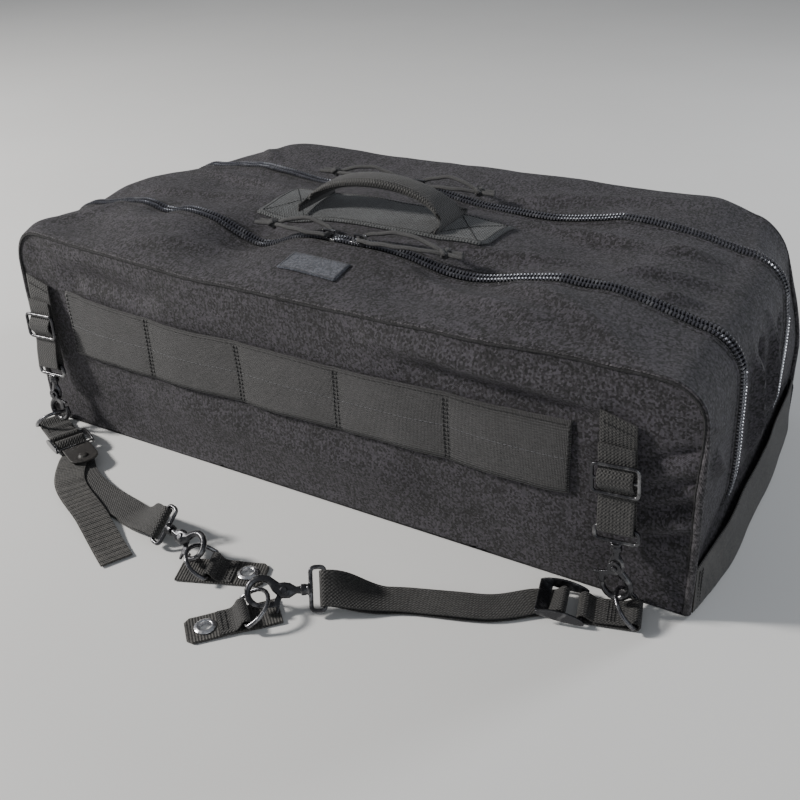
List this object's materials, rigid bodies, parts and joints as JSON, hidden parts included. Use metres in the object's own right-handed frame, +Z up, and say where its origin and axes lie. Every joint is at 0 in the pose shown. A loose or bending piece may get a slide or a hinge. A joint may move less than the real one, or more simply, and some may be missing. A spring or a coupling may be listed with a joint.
{
  "type": "flight bag",
  "caption": "Soft rectangular flight bag with two zipped compartments, a top carry handle, sewn attachment webbing and a loose strap harness with swivel snap hooks.",
  "frame": {"origin": "centre of the bag's flat base, on the surface it stands on", "axes": "+X to the bag's right end, +Y to the back, +Z up"},
  "size_m": [0.6594, 0.4848, 0.2322],
  "materials": {
    "nylon": "coarse woven black nylon",
    "webbing": "ribbed black nylon webbing",
    "black_steel": "semi-gloss black coating over forged steel",
    "zip_coil": "glossy nylon coil",
    "cord": "braided black cord",
    "board": "matte sheet",
    "label": "woven satin",
    "silver": "nickel plated",
    "piping": "fine twill"
  },
  "bodies": {
    "root": {"lower_tray": "nylon", "center_band": "nylon", "divider_panel": "nylon", "bottom_stiffener": "board", "front_zip_body_half": "zip_coil", "rear_zip_body_half": "zip_coil", "handle_base": "webbing", "left_end_handle": "webbing", "right_end_handle": "webbing"},
    "front_cover": {"front_cover": "nylon", "front_piping": "piping", "front_zip_cover_half": "zip_coil", "attachment_webbing": "webbing", "label": "label"},
    "rear_cover": {"rear_cover": "nylon", "rear_piping": "piping", "rear_zip_cover_half": "zip_coil"},
    "handle_grip": {"handle_grip": "webbing"},
    "front_left_slider": {"front_left_slider": "black_steel"},
    "front_left_pull_cord": {"front_left_pull_cord": "cord"},
    "front_right_slider": {"front_right_slider": "black_steel"},
    "front_right_pull_cord": {"front_right_pull_cord": "cord"},
    "rear_left_slider": {"rear_left_slider": "black_steel"},
    "rear_left_pull_cord": {"rear_left_pull_cord": "cord"},
    "rear_right_slider": {"rear_right_slider": "black_steel"},
    "rear_right_pull_cord": {"rear_right_pull_cord": "cord"},
    "left_strap": {"left_short_strap": "webbing", "left_upper_eye": "black_steel"},
    "left_triglide": {"left_triglide": "black_steel"},
    "left_upper_hook": {"left_upper_hook": "black_steel"},
    "left_upper_trigger": {"left_upper_trigger": "black_steel"},
    "left_harness": {"left_end_tab": "webbing", "left_adapter_frame": "black_steel", "left_adapter_bar": "black_steel", "left_lower_strap": "webbing", "left_lower_eye": "black_steel", "left_center_tab": "webbing", "left_grommet": "silver", "left_keeper": "piping"},
    "left_end_ring": {"left_end_ring": "black_steel"},
    "left_lower_hook": {"left_lower_hook": "black_steel"},
    "left_lower_trigger": {"left_lower_trigger": "black_steel"},
    "left_center_ring": {"left_center_ring": "black_steel"},
    "right_strap": {"right_short_strap": "webbing", "right_upper_eye": "black_steel"},
    "right_triglide": {"right_triglide": "black_steel"},
    "right_upper_hook": {"right_upper_hook": "black_steel"},
    "right_upper_trigger": {"right_upper_trigger": "black_steel"},
    "right_harness": {"right_end_tab": "webbing", "right_adapter_frame": "black_steel", "right_adapter_bar": "black_steel", "right_lower_strap": "webbing", "right_lower_eye": "black_steel", "right_center_tab": "webbing", "right_grommet": "silver"},
    "right_end_ring": {"right_end_ring": "black_steel"},
    "right_lower_hook": {"right_lower_hook": "black_steel"},
    "right_lower_trigger": {"right_lower_trigger": "black_steel"},
    "right_center_ring": {"right_center_ring": "black_steel"}
  },
  "joints": [
    {"name": "front_cover_fold", "type": "hinge", "parent": "root", "child": "front_cover", "pos_m": [0, -0.15, 0.04], "axis": [1, 0, 0], "range_deg": [0, 14]},
    {"name": "rear_cover_fold", "type": "hinge", "parent": "root", "child": "rear_cover", "pos_m": [0, 0.15, 0.04], "axis": [-1, 0, 0], "range_deg": [0, 100]},
    {"name": "handle_grip_bend", "type": "hinge", "parent": "root", "child": "handle_grip", "pos_m": [-0.02, 0.002, 0.1952], "axis": [1, 0, 0], "range_deg": [-33, 33], "stiffness_Nm_per_rad": 0.08},
    {"name": "front_left_slide", "type": "slide", "parent": "front_cover", "child": "front_left_slider", "axis": [-1, 0, 0], "range_m": [0, 0.17]},
    {"name": "front_left_pull_lift", "type": "hinge", "parent": "front_left_slider", "child": "front_left_pull_cord", "pos_m": [-0.03, -0.062, 0.19655], "axis": [0, 1, 0], "range_deg": [0, 90]},
    {"name": "front_right_slide", "type": "slide", "parent": "front_cover", "child": "front_right_slider", "axis": [1, 0, 0], "range_m": [0, 0.19]},
    {"name": "front_right_pull_lift", "type": "hinge", "parent": "front_right_slider", "child": "front_right_pull_cord", "pos_m": [-0.001, -0.062, 0.19655], "axis": [0, -1, 0], "range_deg": [0, 90]},
    {"name": "rear_left_slide", "type": "slide", "parent": "rear_cover", "child": "rear_left_slider", "axis": [-1, 0, 0], "range_m": [0, 0.15]},
    {"name": "rear_left_pull_lift", "type": "hinge", "parent": "rear_left_slider", "child": "rear_left_pull_cord", "pos_m": [-0.052, 0.078, 0.19602], "axis": [0, 1, 0], "range_deg": [0, 90]},
    {"name": "rear_right_slide", "type": "slide", "parent": "rear_cover", "child": "rear_right_slider", "axis": [1, 0, 0], "range_m": [0, 0.2]},
    {"name": "rear_right_pull_lift", "type": "hinge", "parent": "rear_right_slider", "child": "rear_right_pull_cord", "pos_m": [-0.026, 0.078, 0.19602], "axis": [0, -1, 0], "range_deg": [0, 90]},
    {"name": "left_strap_hang", "type": "hinge", "parent": "front_cover", "child": "left_strap", "pos_m": [-0.284, -0.1535, 0.147], "axis": [1, 0, 0], "range_deg": [-14, 0]},
    {"name": "left_triglide_slide", "type": "slide", "parent": "left_strap", "child": "left_triglide", "axis": [0.0498, -0.0796, -0.9956], "range_m": [-0.01, 0]},
    {"name": "left_upper_swivel", "type": "hinge", "parent": "left_strap", "child": "left_upper_hook", "pos_m": [-0.28003, -0.16316, 0.06762], "axis": [0.0498, -0.0796, -0.9956], "range_deg": [-8, 8]},
    {"name": "left_upper_gate", "type": "hinge", "parent": "left_upper_hook", "child": "left_upper_trigger", "pos_m": [-0.27859, -0.16547, 0.03874], "axis": [0.004, 0.9968, -0.0796], "range_deg": [0, 14], "stiffness_Nm_per_rad": 0.02},
    {"name": "left_harness_follow", "type": "slide", "parent": "root", "child": "left_harness", "axis": [0, -1, 0], "range_m": [0, 0.02591]},
    {"name": "left_end_ring_tilt", "type": "hinge", "parent": "left_harness", "child": "left_end_ring", "pos_m": [-0.29457, -0.16554, 0.0045], "axis": [-0.423, -0.9061, 0], "range_deg": [-1.5, 5]},
    {"name": "left_lower_swivel", "type": "hinge", "parent": "left_harness", "child": "left_lower_hook", "pos_m": [-0.07958, -0.25077, 0.0168], "axis": [0.9684, -0.2496, 0], "range_deg": [-8, 8]},
    {"name": "left_lower_gate", "type": "hinge", "parent": "left_lower_hook", "child": "left_lower_trigger", "pos_m": [-0.05149, -0.25801, 0.0168], "axis": [-0.1765, -0.6847, 0.7071], "range_deg": [0, 14], "stiffness_Nm_per_rad": 0.02},
    {"name": "left_center_ring_tilt", "type": "hinge", "parent": "left_harness", "child": "left_center_ring", "pos_m": [-0.01804, -0.26455, 0.0062], "axis": [-0.3579, 0.9338, 0], "range_deg": [-2.5, 5]},
    {"name": "right_strap_hang", "type": "hinge", "parent": "front_cover", "child": "right_strap", "pos_m": [0.2485, -0.1535, 0.147], "axis": [1, 0, 0], "range_deg": [-14, 0]},
    {"name": "right_triglide_slide", "type": "slide", "parent": "right_strap", "child": "right_triglide", "axis": [0.0893, -0.0794, -0.9928], "range_m": [-0.01, 0]},
    {"name": "right_upper_swivel", "type": "hinge", "parent": "right_strap", "child": "right_upper_hook", "pos_m": [0.25562, -0.16314, 0.06783], "axis": [0.0893, -0.0794, -0.9928], "range_deg": [-8, 8]},
    {"name": "right_upper_gate", "type": "hinge", "parent": "right_upper_hook", "child": "right_upper_trigger", "pos_m": [0.25822, -0.16545, 0.03904], "axis": [-0.0071, -0.9968, 0.0791], "range_deg": [0, 14], "stiffness_Nm_per_rad": 0.02},
    {"name": "right_harness_follow", "type": "slide", "parent": "root", "child": "right_harness", "axis": [0, -1, 0], "range_m": [0, 0.02591]},
    {"name": "right_end_ring_tilt", "type": "hinge", "parent": "right_harness", "child": "right_end_ring", "pos_m": [0.27587, -0.16838, 0.0045], "axis": [-0.259, 0.9659, 0], "range_deg": [-1.5, 5]},
    {"name": "right_lower_swivel", "type": "hinge", "parent": "right_harness", "child": "right_lower_hook", "pos_m": [0.07885, -0.25567, 0.0168], "axis": [-0.8412, -0.5408, 0], "range_deg": [-2, 8]},
    {"name": "right_lower_gate", "type": "hinge", "parent": "right_lower_hook", "child": "right_lower_trigger", "pos_m": [0.05446, -0.27135, 0.0168], "axis": [-0.3824, 0.5948, -0.7071], "range_deg": [0, 14], "stiffness_Nm_per_rad": 0.02},
    {"name": "right_center_ring_tilt", "type": "hinge", "parent": "right_harness", "child": "right_center_ring", "pos_m": [0.03463, -0.29482, 0.0062], "axis": [0.7312, -0.6822, 0], "range_deg": [-2.5, 5]}
  ],
  "couplings": [
    {"joint": "left_strap_hang", "follows": "front_cover_fold", "ratio": -1},
    {"joint": "left_harness_follow", "follows": "front_cover_fold", "m_per_rad": 0.106},
    {"joint": "right_strap_hang", "follows": "front_cover_fold", "ratio": -1},
    {"joint": "right_harness_follow", "follows": "front_cover_fold", "m_per_rad": 0.106}
  ]
}
